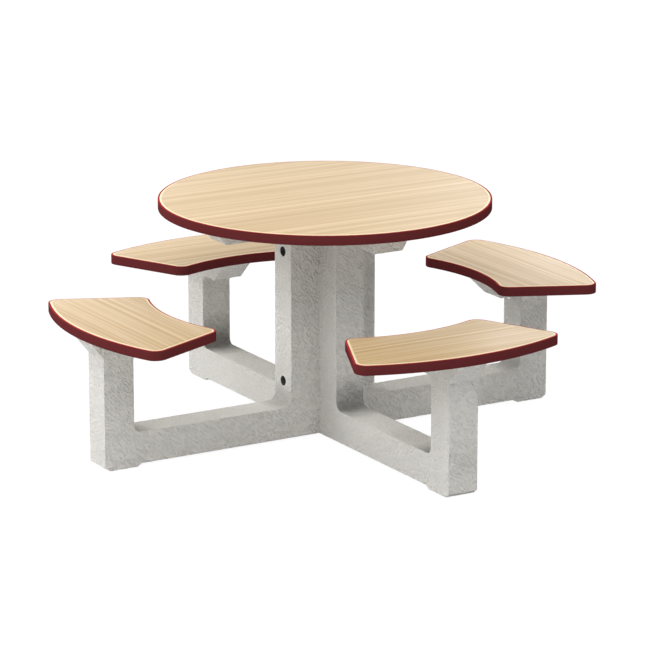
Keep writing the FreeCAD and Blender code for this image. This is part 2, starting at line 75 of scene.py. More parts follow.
class Element(Enum):
    """What a selection is made of in edit mode."""

    VERTEX = "VERT"
    EDGE = "EDGE"
    FACE = "FACE"


class Side(Enum):
    """The four places round the table, each with its angle about the table's axis."""

    RIGHT = 0.0
    BACK = math.pi / 2
    LEFT = math.pi
    FRONT = 3 * math.pi / 2

    @property
    def word(self) -> str:
        """The side's name as the nodes spell it."""
        return self.name.lower()


# ------------------------------------------------------------------ modelling helpers


def deselect_all() -> None:
    """Leaves nothing selected, so that an operator acts only on what is picked next."""
    bpy.ops.object.select_all(action="DESELECT")


def activate(piece: bpy.types.Object) -> None:
    """Makes one piece the only selected object, and the active one.

    Args:
        piece: the piece that the next operators work on.
    """
    deselect_all()
    piece.select_set(True)
    bpy.context.view_layer.objects.active = piece


@contextmanager
def editing(piece: bpy.types.Object) -> Iterator[None]:
    """Keeps one piece in edit mode, with nothing selected at the start.

    Args:
        piece: the piece to edit.

    Yields:
        Nothing; the piece is back in object mode when the block ends.
    """
    activate(piece)
    bpy.ops.object.mode_set(mode="EDIT")
    bpy.ops.mesh.select_all(action="DESELECT")
    yield
    bpy.ops.object.mode_set(mode="OBJECT")


def pick(kind: Element, test: Test) -> None:
    """Selects elements of the mesh in edit mode by their place and direction.

    Args:
        kind: whether vertices, edges or faces are picked.
        test: takes the element's middle and its normal, or an edge's direction.
    """
    bpy.ops.mesh.select_mode(type=kind.value)
    bpy.ops.mesh.select_all(action="DESELECT")
    data = bpy.context.edit_object.data
    mesh = bmesh.from_edit_mesh(data)
    if kind is Element.VERTEX:
        for vertex in mesh.verts:
            if test(vertex.co, vertex.normal):
                vertex.select_set(True)
    elif kind is Element.EDGE:
        for edge in mesh.edges:
            first, second = (v.co for v in edge.verts)
            if test((first + second) / 2, (second - first).normalized()):
                edge.select_set(True)
    else:
        for face in mesh.faces:
            if test(face.calc_center_median(), face.normal):
                face.select_set(True)
    mesh.select_flush_mode()
    bmesh.update_edit_mesh(data)


def select_everything() -> None:
    """Selects the whole mesh in edit mode."""
    bpy.ops.mesh.select_all(action="SELECT")


def face_outwards() -> None:
    """Turns every face of the mesh in edit mode outwards."""
    select_everything()
    bpy.ops.mesh.normals_make_consistent(inside=False)


def merge_to_point() -> None:
    """Merges the mesh in edit mode to one selected point, the start of a drawn outline."""
    bpy.ops.mesh.select_mode(type=Element.VERTEX.value)
    select_everything()
    bpy.ops.mesh.merge(type="CENTER")


def paint_picked(piece: bpy.types.Object) -> None:
    """Gives the selected faces the piece's second material.

    Args:
        piece: the piece in edit mode.
    """
    for part in bmesh.from_edit_mesh(piece.data).faces:
        if part.select:
            part.material_index = 1
    bmesh.update_edit_mesh(piece.data)


def extrude(move: Sequence[float]) -> None:
    """Extrudes what is selected and moves it."""
    bpy.ops.mesh.extrude_region_move(TRANSFORM_OT_translate={"value": tuple(move)})


def shift(move: Sequence[float]) -> None:
    """Moves what is selected."""
    bpy.ops.transform.translate(value=tuple(move))


def slice_at(place: Sequence[float], normal: Sequence[float]) -> None:
    """Cuts the whole mesh in edit mode along a plane, keeping both sides."""
    select_everything()
    bpy.ops.mesh.bisect(plane_co=tuple(place), plane_no=tuple(normal))


def modify(piece: bpy.types.Object, kind: str, **settings: object) -> None:
    """Adds a modifier and applies it at once.

    Args:
        piece: the piece to modify.
        kind: the modifier's type.
        settings: the modifier's properties by name.
    """
    activate(piece)
    modifier = piece.modifiers.new(kind.title(), kind)
    for name, value in settings.items():
        setattr(modifier, name, value)
    bpy.ops.object.modifier_apply(modifier=modifier.name)


def turn_about_axis(piece: bpy.types.Object, angle: float) -> None:
    """Turns a piece about the table's axis and bakes the turn into its mesh.

    Args:
        piece: the piece to turn.
        angle: how far it turns, anticlockwise from above.
    """
    activate(piece)
    piece.rotation_euler = (0.0, 0.0, angle)
    bpy.ops.object.transform_apply(location=True, rotation=True, scale=True)


def copied(piece: bpy.types.Object, name: str) -> bpy.types.Object:
    """Copies a piece together with its mesh.

    Args:
        piece: the piece to copy.
        name: the copy's name.

    Returns:
        The copy, in the scene.
    """
    twin = piece.copy()
    twin.data = piece.data.copy()
    twin.name = name
    bpy.context.scene.collection.objects.link(twin)
    return twin


def added(name: str) -> bpy.types.Object:
    """Names the primitive that was just added, and bakes its place into its mesh.

    Args:
        name: its name from now on.

    Returns:
        The primitive, selected and active.
    """
    piece = bpy.context.view_layer.objects.active
    piece.name = name
    activate(piece)
    bpy.ops.object.transform_apply(location=True, rotation=True, scale=True)
    return piece


def smooth(piece: bpy.types.Object, angle: float = math.radians(35)) -> None:
    """Shades a piece smooth, apart from edges sharper than an angle."""
    activate(piece)
    bpy.ops.object.shade_smooth_by_angle(angle=angle)


def hand_over(
    piece: bpy.types.Object, slot: str, nodes: Sequence[str], *materials: bpy.types.Material
) -> None:
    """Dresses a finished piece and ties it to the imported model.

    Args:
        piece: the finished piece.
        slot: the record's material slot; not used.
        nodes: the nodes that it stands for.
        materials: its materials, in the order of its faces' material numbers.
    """
    for material in materials:
        piece.data.materials.append(material)
    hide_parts(*nodes)
    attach(piece, BODY)
    LOG.info("%s: %d faces, stands for %s", piece.name, len(piece.data.polygons), ", ".join(nodes))


# ------------------------------------------------------------------ shader helpers

MIX_INPUTS = (0, 6, 7)  # a colour Mix node's share, first colour and second colour
MIX_OUTPUT = 2  # and the colour that it gives
NOISE_MIDDLE = 0.5  # what a noise swings about


class Shader:
    """A node tree with short calls to add nodes and links."""

    def __init__(self, tree: bpy.types.NodeTree) -> None:
        """Works on one node tree."""
        self.tree = tree

    def node(self, kind: str, **settings: object) -> bpy.types.Node:
        """Adds a node, sets its properties, and its inputs where a name is an input's.

        Args:
            kind: the node's type.
            settings: properties by name, or inputs by name with underscores for spaces.

        Returns:
            The new node.
        """
        made = self.tree.nodes.new(kind)
        for name, value in settings.items():
            socket = name.replace("_", " ")
            if hasattr(made, name):
                setattr(made, name, value)
            elif isinstance(value, bpy.types.NodeSocket):
                self.tree.links.new(value, made.inputs[socket])
            else:
                made.inputs[socket].default_value = value
        return made

    def link(self, source: bpy.types.NodeSocket, target: bpy.types.NodeSocket) -> None:
        """Joins an output to an input."""
        self.tree.links.new(source, target)

    def sums(self, operation: str, first: object, second: object = 0.0) -> bpy.types.NodeSocket:
        """Does one step of arithmetic in a Math node.

        Args:
            operation: the Math node's operation.
            first: the first number, or the socket that gives it.
            second: the second one, where the operation takes two.

        Returns:
            The socket with the result.
        """
        made = self.node("ShaderNodeMath", operation=operation)
        for index, value in enumerate((first, second)):
            if isinstance(value, bpy.types.NodeSocket):
                self.link(value, made.inputs[index])
            else:
                made.inputs[index].default_value = value
        return made.outputs[0]

    def ramp(self, value: bpy.types.NodeSocket, low: float, high: float) -> bpy.types.NodeSocket:
        """Stretches a value so that low becomes 0 and high becomes 1, and clamps it.

        Args:
            value: the socket that gives the value.
            low: what becomes 0.
            high: what becomes 1, which may be the smaller of the two.

        Returns:
            The socket with the stretched value.
        """
        made = self.node("ShaderNodeMapRange", clamp=True)
        made.inputs["From Min"].default_value = low
        made.inputs["From Max"].default_value = high
        self.link(value, made.inputs["Value"])
        return made.outputs["Result"]

    def mix(
        self, share: object, first: object, second: object, blend: str = "MIX"
    ) -> bpy.types.NodeSocket:
        """Mixes two colours.

        Args:
            share: how much of the second colour is taken, as a number or a socket.
            first: the first colour, or the socket that gives it.
            second: the second colour, or the socket that gives it.
            blend: the way in which they mix.

        Returns:
            The socket with the mixed colour.
        """
        made = self.node("ShaderNodeMix", data_type="RGBA", blend_type=blend)
        for index, value in zip(MIX_INPUTS, (share, first, second)):
            socket = made.inputs[index]
            if isinstance(value, bpy.types.NodeSocket):
                self.link(value, socket)
            elif isinstance(value, (int, float)):
                socket.default_value = value
            else:
                socket.default_value = (*value, 1.0)
        return made.outputs[MIX_OUTPUT]

    def swing(self, value: bpy.types.NodeSocket, width: object) -> bpy.types.NodeSocket:
        """A noise moved to swing about 0, and scaled to a width."""
        return self.sums("MULTIPLY", self.sums("SUBTRACT", value, NOISE_MIDDLE), width)


def start_group(
    name: str, inputs: dict[str, object], outputs: Sequence[str]
) -> tuple[bpy.types.NodeTree, Shader, bpy.types.Node, bpy.types.Node]:
    """Starts a shader node group with named sockets.

    Args:
        name: the group's name.
        inputs: each input's name with its default value; a tuple makes a vector.
        outputs: the names of the values that it gives.

    Returns:
        The group's tree, its shader helper, and its input and output nodes.
    """
    tree = bpy.data.node_groups.new(name, "ShaderNodeTree")
    for label, value in inputs.items():
        kind = "NodeSocketVector" if isinstance(value, tuple) else "NodeSocketFloat"
        socket = tree.interface.new_socket(label, in_out="INPUT", socket_type=kind)
        socket.default_value = value
    for label in outputs:
        tree.interface.new_socket(label, in_out="OUTPUT", socket_type="NodeSocketFloat")
    shader = Shader(tree)
    return tree, shader, shader.node("NodeGroupInput"), shader.node("NodeGroupOutput")


class Effects:
    """Surface effects that several finishes share, each built once."""

    def __init__(self) -> None:
        """Builds the four effects."""
        self.blasted = self._blasted_surface()
        self.grain = self._wood_grain()
        self.scuffs = self._scuffs()
        # Painted shade for the frames' lower hollow corners.
        self.corner_shade = self._corner_shade()

    @staticmethod
    def _blasted_surface() -> bpy.types.NodeTree:
        """Makes cement skin after blasting: shallow dents, fine sand and scattered pits.

        Returns:
            The effect's node group.
        """
        slant, stretch = math.radians(45), 2.4
        dent_fade, sand_fade = (0.46, 0.68), (0.3, 0.7)
        pit_fade, pit_chance = (0.17, 0.05), (0.5, 0.95)
        tree, shader, given, result = start_group(
            "Blasted surface",
            {"Vector": (0.0, 0.0, 0.0), "Dent Size": 0.011, "Sand Size": 0.0035, "Pit Spacing": 0.016},
            ("Dents", "Sand", "Pits"),
        )
        where = given.outputs["Vector"]

        def noise(
            place: object, size: bpy.types.NodeSocket, detail: float, roughness: float
        ) -> bpy.types.NodeSocket:
            """Makes a noise with lumps of a size.

            Args:
                place: the socket with the coordinates.
                size: the socket with the lumps' size.
                detail: how many finer noises are added.
                roughness: how strong those are.

            Returns:
                The socket with the noise.
            """
            made = shader.node(
                "ShaderNodeTexNoise", Vector=place, Detail=detail, Roughness=roughness
            )
            shader.link(shader.sums("DIVIDE", 1.0, size), made.inputs["Scale"])
            return made.outputs["Fac"]

        slanted = shader.node("ShaderNodeMapping", vector_type="TEXTURE", Vector=where)
        slanted.inputs["Rotation"].default_value = (0.0, slant, 0.0)
        slanted.inputs["Scale"].default_value = (stretch, 1.0, 1.0)
        lumps = noise(slanted.outputs["Vector"], given.outputs["Dent Size"], 1.0, 0.5)
        dents = shader.ramp(lumps, *dent_fade)
        sand = shader.ramp(noise(where, given.outputs["Sand Size"], 3.0, 0.6), *sand_fade)
        cells = shader.node("ShaderNodeTexVoronoi", Vector=where, Randomness=1.0)
        shader.link(shader.sums("DIVIDE", 1.0, given.outputs["Pit Spacing"]), cells.inputs["Scale"])
        spot = shader.ramp(cells.outputs["Distance"], *pit_fade)
        chance = shader.node("ShaderNodeSeparateColor")
        shader.link(cells.outputs["Color"], chance.inputs["Color"])
        some = shader.ramp(chance.outputs["Red"], *pit_chance)
        shader.link(dents, result.inputs["Dents"])
        shader.link(sand, result.inputs["Sand"])
        shader.link(shader.sums("MULTIPLY", spot, some), result.inputs["Pits"])
        return tree

    @staticmethod
    def _corner_shade() -> bpy.types.NodeTree:
        """Makes painted shade in a frame's lower hollow corners, fading along the rail and up the
        uprights.

        The rail's two hollow corners lie half its length from its middle. The frames' flat sides
        stay free of it: they lie past the half width.

        Returns:
            The effect's node group.
        """
        patch_scale, patch_detail, patch_swing = 25.0, 3.0, 0.5
        side_fade = (0.0, 0.0012)
        tree, shader, given, result = start_group(
            "Painted corner shade",
            {
                "Vector": (0.0, 0.0, 0.0),
                "Middle": 0.43,
                "Half Length": 0.28,
                "Height": 0.111,
                "Half Width": 0.05,
                "Reach": 0.1,
            },
            ("Value",),
        )
        where = given.outputs["Vector"]
        parts = shader.node("ShaderNodeSeparateXYZ", Vector=where)
        east, north = (shader.sums("ABSOLUTE", parts.outputs[axis]) for axis in "XY")
        out = shader.sums("MAXIMUM", east, north)
        across = shader.sums("MINIMUM", east, north)
        from_side = shader.sums("SUBTRACT", given.outputs["Half Width"], across)
        from_middle = shader.sums("ABSOLUTE", shader.sums("SUBTRACT", out, given.outputs["Middle"]))
        run = shader.sums("SUBTRACT", given.outputs["Half Length"], from_middle)
        rise = shader.sums("SUBTRACT", parts.outputs["Z"], given.outputs["Height"])
        run_squared, rise_squared = (shader.sums("MULTIPLY", leg, leg) for leg in (run, rise))
        distance = shader.sums("SQRT", shader.sums("ADD", run_squared, rise_squared))
        share = shader.sums("DIVIDE", distance, given.outputs["Reach"])
        patchy = shader.node("ShaderNodeTexNoise", Vector=where, Scale=patch_scale, Detail=patch_detail)
        uneven = shader.sums("ADD", share, shader.swing(patchy.outputs["Fac"], patch_swing))
        near = shader.ramp(uneven, 1.0, 0.0)
        inside = shader.ramp(from_side, *side_fade)
        shader.link(shader.sums("MULTIPLY", near, inside), result.inputs["Value"])
        return tree

    @staticmethod
    def _wood_grain() -> bpy.types.NodeTree:
        """Makes straight printed grain along X: broad bands, narrow streaks and fine pores.

        Returns:
            The effect's node group.
        """
        drift_scale, drift_width = 2.2, 0.002
        pore_width, pore_stretch = 0.0011, 4.0
        band_fade, streak_fade, pore_fade = (0.34, 0.66), (0.36, 0.62), (0.66, 0.78)
        tree, shader, given, result = start_group(
            "Straight grain",
            {"Vector": (0.0, 0.0, 0.0), "Band Width": 0.035, "Streak Width": 0.012, "Length": 120.0},
            ("Bands", "Streaks", "Pores"),
        )
        where = given.outputs["Vector"]
        drift = shader.node("ShaderNodeTexNoise", Vector=where, Scale=drift_scale, Detail=1.0)
        sway = shader.swing(drift.outputs["Fac"], drift_width)
        parts = shader.node("ShaderNodeSeparateXYZ", Vector=where)
        across = shader.sums("ADD", parts.outputs["Y"], sway)
        along = shader.sums("DIVIDE", parts.outputs["X"], given.outputs["Length"])
        bent = shader.node("ShaderNodeCombineXYZ", X=along, Y=across, Z=parts.outputs["Z"])

        def lines(width: object, detail: float, stretch: float = 1.0) -> bpy.types.NodeSocket:
            """Makes a noise drawn out into lines along the grain.

            Args:
                width: the lines' width, as a number or a socket.
                detail: how many finer noises are added.
                stretch: how much shorter than the others these lines are.

            Returns:
                The socket with the noise.
            """
            placed = bent.outputs["Vector"]
            if stretch != 1.0:
                scaled = shader.node("ShaderNodeVectorMath", operation="MULTIPLY")
                shader.link(placed, scaled.inputs[0])
                scaled.inputs[1].default_value = (stretch, 1.0, 1.0)
                placed = scaled.outputs["Vector"]
            made = shader.node("ShaderNodeTexNoise", Vector=placed, Detail=detail, Roughness=0.6)
            shader.link(shader.sums("DIVIDE", 1.0, width), made.inputs["Scale"])
            return made.outputs["Fac"]

        bands = shader.ramp(lines(given.outputs["Band Width"], 2.0), *band_fade)
        streaks = shader.ramp(lines(given.outputs["Streak Width"], 2.0), *streak_fade)
        pores = shader.ramp(lines(pore_width, 0.0, pore_stretch), *pore_fade)
        for label, value in (("Bands", bands), ("Streaks", streaks), ("Pores", pores)):
            shader.link(value, result.inputs[label])
        return tree

    @staticmethod
    def _scuffs() -> bpy.types.NodeTree:
        """Makes uneven shine from handling: a cloudy value that swings about a middle.

        Returns:
            The effect's node group.
        """
        tree, shader, given, result = start_group(
            "Scuffs",
            {"Vector": (0.0, 0.0, 0.0), "Cloud Size": 0.12, "Middle": 0.5, "Spread": 0.2},
            ("Value",),
        )
        where = given.outputs["Vector"]
        cloud = shader.node("ShaderNodeTexNoise", Vector=where, Detail=5.0, Roughness=0.6)
        shader.link(shader.sums("DIVIDE", 1.0, given.outputs["Cloud Size"]), cloud.inputs["Scale"])
        swing = shader.swing(cloud.outputs["Fac"], given.outputs["Spread"])
        shader.link(shader.sums("ADD", given.outputs["Middle"], swing), result.inputs["Value"])
        return tree


@dataclass(frozen=True)
class Finish:
    """What every finish shares: a name, a main colour and its roughness."""

    name: str
    colour: Colour
    roughness: float

    def begin(self) -> tuple[bpy.types.Material, Shader, bpy.types.Node, bpy.types.NodeSocket]:
        """Starts the finish's material.

        Returns:
            The material, its shader helper, its surface node, and the socket with the piece's own
            coordinates.
        """
        material = bpy.data.materials.new(self.name)
        material.use_nodes = True
        shader = Shader(material.node_tree)
        surface = material.node_tree.nodes["Principled BSDF"]
        surface.inputs["Base Color"].default_value = (*self.colour, 1.0)
        surface.inputs["Roughness"].default_value = self.roughness
        where = shader.node("ShaderNodeTexCoord").outputs["Object"]
        return material, shader, surface, where

    def effect(
        self, shader: Shader, tree: bpy.types.NodeTree, where: bpy.types.NodeSocket, **values: float
    ) -> bpy.types.Node:
        """Places a shared effect in the material with this finish's own values.

        Args:
            shader: the material's shader helper.
            tree: the effect's node group.
            where: the socket with the coordinates.
            values: the effect's inputs by name, with underscores for spaces.

        Returns:
            The effect's node.
        """
        made = shader.tree.nodes.new("ShaderNodeGroup")
        made.node_tree = tree
        shader.link(where, made.inputs["Vector"])
        for name, value in values.items():
            made.inputs[name.replace("_", " ")].default_value = value
        return made

    def tones(
        self, shader: Shader, share: bpy.types.NodeSocket, levels: tuple[float, float]
    ) -> bpy.types.NodeSocket:
        """Mixes two tones of the main colour.

        Args:
            shader: the material's shader helper.
            share: the socket that says how much of the second tone is taken.
            levels: what the main colour is multiplied by for each tone.

        Returns:
            The socket with the mixed colour.
        """
        first, second = (tuple(c * level for c in self.colour) for level in levels)
        return shader.mix(share, first, second)


@dataclass(frozen=True)
class Concrete(Finish):
    """Light grey precast concrete, lightly blasted, with painted shade in its lower hollow corners."""

    pit_colour: Colour = (0.34, 0.33, 0.31)
    # These three paint shade into the lower hollow corners: its colour, strength and reach.
    corner_shade_colour: Colour = (0.10, 0.098, 0.09)
    corner_shade_strength: float = 0.82
    corner_shade_reach: float = 0.12
    cloud_scale: float = 3.0
    cloud_fade: tuple[float, float] = (0.3, 0.7)
    cloud_levels: tuple[float, float] = (0.98, 1.02)
    sand_levels: tuple[Colour, Colour] = ((0.92, 0.92, 0.915), (1.05, 1.05, 1.05))
    dent_size: float = 0.0062
    dent_stain: float = 0.05
    pit_stain: float = 0.55
    relief: float = 0.0040
    sand_rise: float = 0.35
    pit_drop: float = 0.6
    gloss: float = 0.25

    def build(self, effects: Effects) -> bpy.types.Material:
        """Builds the concrete's material.

        Args:
            effects: the shared effects.

        Returns:
            The material.
        """
        material, shader, surface, where = self.begin()
        skin = self.effect(shader, effects.blasted, where, Dent_Size=self.dent_size)
        dents, sand, pits = (skin.outputs[n] for n in ("Dents", "Sand", "Pits"))
        clouds = shader.node(
            "ShaderNodeTexNoise", Vector=where, Scale=self.cloud_scale, Detail=4.0, Roughness=0.55
        )
        cloudy = shader.ramp(clouds.outputs["Fac"], *self.cloud_fade)
        pale = self.tones(shader, cloudy, self.cloud_levels)
        speckled = shader.mix(1.0, pale, shader.mix(sand, *self.sand_levels), "MULTIPLY")
        dented = shader.mix(shader.sums("MULTIPLY", dents, self.dent_stain), speckled, self.pit_colour)
        pitted = shader.mix(shader.sums("MULTIPLY", pits, self.pit_stain), dented, self.pit_colour)
        # Painted shade: the lower hollow corners are darkened, as though in shadow.
        corner = self.effect(shader, effects.corner_shade, where, Reach=self.corner_shade_reach)
        painted_shade = shader.sums("MULTIPLY", corner.outputs["Value"], self.corner_shade_strength)
        shader.link(shader.mix(painted_shade, pitted, self.corner_shade_colour), surface.inputs["Base Color"])
        height = shader.sums("SUBTRACT", shader.sums("MULTIPLY", sand, self.sand_rise), dents)
        height = shader.sums("SUBTRACT", height, shader.sums("MULTIPLY", pits, self.pit_drop))
        bump = shader.node("ShaderNodeBump", Height=height, Distance=self.relief)
        bump.inputs["Strength"].default_value = 1.0
        shader.link(bump.outputs["Normal"], surface.inputs["Normal"])
        surface.inputs["Specular IOR Level"].default_value = self.gloss
        return material


@dataclass(frozen=True)
class PrintedOak(Finish):
    """Satin laminate printed with a light straight grain."""

    dark: Colour = (0.371, 0.225, 0.075)
    pale: Colour = (0.637, 0.482, 0.284)
    contrast: float = 1.0
    band_share: float = 0.9
    streak_share: float = 0.62
    pore_share: float = 0.15
    streak_rise: float = 0.3
    relief: float = 0.00008
    gloss: float = 0.35
    wear_size: float = 0.15
    wear_spread: float = 0.12
    turned: bool = False

    def build(self, effects: Effects) -> bpy.types.Material:
        """Builds the laminate's material, its grain along X, or along Y where it is turned.

        Args:
            effects: the shared effects.

        Returns:
            The material.
        """
        material, shader, surface, where = self.begin()
        if self.turned:
            mapping = shader.node("ShaderNodeMapping", Vector=where)
            mapping.inputs["Rotation"].default_value = (0.0, 0.0, math.pi / 2)
            where = mapping.outputs["Vector"]
        grain = self.effect(shader, effects.grain, where)
        bands, streaks, pores = (grain.outputs[n] for n in ("Bands", "Streaks", "Pores"))
        broad = shader.mix(shader.sums("MULTIPLY", bands, self.band_share), self.colour, self.pale)
        between = shader.sums("SUBTRACT", 1.0, streaks)
        shade = shader.sums("MULTIPLY", between, self.streak_share * self.contrast)
        streaky = shader.mix(shade, broad, self.dark)
        specks = shader.sums("MULTIPLY", pores, self.pore_share * self.contrast)
        shader.link(shader.mix(specks, streaky, self.dark), surface.inputs["Base Color"])
        surface.inputs["Specular IOR Level"].default_value = self.gloss
        wear = self.effect(
            shader,
            effects.scuffs,
            where,
            Cloud_Size=self.wear_size,
            Middle=self.roughness,
            Spread=self.wear_spread,
        )
        shader.link(wear.outputs["Value"], surface.inputs["Roughness"])
        height = shader.sums("SUBTRACT", shader.sums("MULTIPLY", streaks, self.streak_rise), pores)
        bump = shader.node("ShaderNodeBump", Height=height, Distance=self.relief)
        shader.link(bump.outputs["Normal"], surface.inputs["Normal"])
        return material


@dataclass(frozen=True)
class Moulded(Finish):
    """Plain moulded plastic with a fine pebble and uneven shine."""

    pebble: float = 0.0012
    relief: float = 0.00006
    gloss: float = 0.4
    cloud_size: float = 0.2
    cloud_levels: tuple[float, float] = (0.93, 1.07)
    wear_size: float = 0.05
    wear_spread: float = 0.14

    def build(self, effects: Effects) -> bpy.types.Material:
        """Builds the plastic's material.

        Args:
            effects: the shared effects.

        Returns:
            The material.
        """
        material, shader, surface, where = self.begin()
        cloud = self.effect(
            shader, effects.scuffs, where, Cloud_Size=self.cloud_size, Middle=0.5, Spread=1.0
        )
        tone = self.tones(shader, cloud.outputs["Value"], self.cloud_levels)
        shader.link(tone, surface.inputs["Base Color"])
        wear = self.effect(
            shader,
            effects.scuffs,
            where,
            Cloud_Size=self.wear_size,
            Middle=self.roughness,
            Spread=self.wear_spread,
        )
        shader.link(wear.outputs["Value"], surface.inputs["Roughness"])
        surface.inputs["Specular IOR Level"].default_value = self.gloss
        grit = shader.node("ShaderNodeTexNoise", Vector=where, Scale=1.0 / self.pebble, Detail=1.0)
        bump = shader.node("ShaderNodeBump", Height=grit.outputs["Fac"], Distance=self.relief)
        shader.link(bump.outputs["Normal"], surface.inputs["Normal"])
        return material


@dataclass(frozen=True)
class Board(Finish):
    """Bare pressed board: flakes of wood in slightly different browns."""

    flake: float = 0.004
    flake_levels: tuple[float, float] = (0.7, 1.15)
    relief: float = 0.0002

    def build(self) -> bpy.types.Material:
        """Builds the board's material.

        Returns:
            The material.
        """
        material, shader, surface, where = self.begin()
        flakes = shader.node("ShaderNodeTexVoronoi", Vector=where, Scale=1.0 / self.flake)
        tone = shader.node("ShaderNodeSeparateColor", Color=flakes.outputs["Color"])
        brown = self.tones(shader, tone.outputs["Red"], self.flake_levels)
        shader.link(brown, surface.inputs["Base Color"])
        bump = shader.node("ShaderNodeBump", Height=tone.outputs["Green"], Distance=self.relief)
        shader.link(bump.outputs["Normal"], surface.inputs["Normal"])
        return material


@dataclass(frozen=True)
class Plated(Finish):
    """Zinc-plated steel with the faint mottle of the plating."""

    spangle: float = 0.004
    spangle_levels: tuple[float, float] = (0.85, 1.1)
    wear_size: float = 0.01
    wear_spread: float = 0.25

    def build(self, effects: Effects) -> bpy.types.Material:
        """Builds the steel's material.

        Args:
            effects: the shared effects.

        Returns:
            The material.
        """
        material, shader, surface, where = self.begin()
        surface.inputs["Metallic"].default_value = 1.0
        cells = shader.node("ShaderNodeTexVoronoi", Vector=where, Scale=1.0 / self.spangle)
        tone = shader.node("ShaderNodeSeparateColor", Color=cells.outputs["Color"])
        grey = self.tones(shader, tone.outputs["Red"], self.spangle_levels)
        shader.link(grey, surface.inputs["Base Color"])
        wear = self.effect(
            shader,
            effects.scuffs,
            where,
            Cloud_Size=self.wear_size,
            Middle=self.roughness,
            Spread=self.wear_spread,
        )
        shader.link(wear.outputs["Value"], surface.inputs["Roughness"])
        return material


class Palette:
    """Every finish on the table, built once."""

    def __init__(self) -> None:
        """Builds the finishes."""
        effects = Effects()
        matt, satin, half_matt = 0.9, 0.42, 0.5
        grey, oak = (0.72, 0.703, 0.671), (0.50, 0.357, 0.191)
        strong_grain = 1.12
        self.concrete = Concrete("Precast concrete", grey, matt).build(effects)
        # The half frames take a weaker, shorter painted corner shade.
        half_frame_concrete = Concrete("Concrete, lighter painted corner shade", grey, matt, corner_shade_strength=0.5, corner_shade_reach=0.07)
        self.side_concrete = half_frame_concrete.build(effects)
        self.oak = PrintedOak("Oak laminate", oak, satin, contrast=0.75).build(effects)
        bench = PrintedOak("Bench laminate", oak, satin, contrast=strong_grain)
        self.seat_oak = bench.build(effects)
        turned = PrintedOak(
            "Bench laminate, turned", oak, satin, contrast=strong_grain, turned=True
        )
        self.seat_oak_turned = turned.build(effects)
        rim = Moulded("Trimmed laminate rim", (0.76, 0.64, 0.40), half_matt, gloss=0.3)
        self.oak_rim = rim.build(effects)
        edging = Moulded("Burgundy edging", (0.108, 0.021, 0.0225), half_matt, gloss=0.0)
        self.edging = edging.build(effects)
        # Painted highlight: a brighter red for the band's upward faces, as if lit from above.
        lit_edging = Moulded("Edging, painted highlight", (0.34, 0.030, 0.038), half_matt, gloss=0.0)
        self.edging_highlight = lit_edging.build(effects)
        self.backing = Moulded("Backing sheet", (0.74, 0.70, 0.63), 0.6).build(effects)
        self.board = Board("Bare board", (0.45, 0.30, 0.17), matt).build()
        self.steel = Plated("Zinc-plated steel", (0.62, 0.62, 0.62), 0.38).build(effects)
        # Painted shade: the rods sit deep in the recesses, so their steel is made near-black.
        self.recess_shaded_steel = Plated("Steel, painted recess shade", (0.10, 0.095, 0.09), 0.6).build(effects)
        # Painted shade: a near-black material for the recess walls, which lie in shadow.
        self.recess = Moulded("Painted recess shade", (0.09, 0.087, 0.08), 0.7, gloss=0.1).build(effects)


# ------------------------------------------------------------------ concrete base


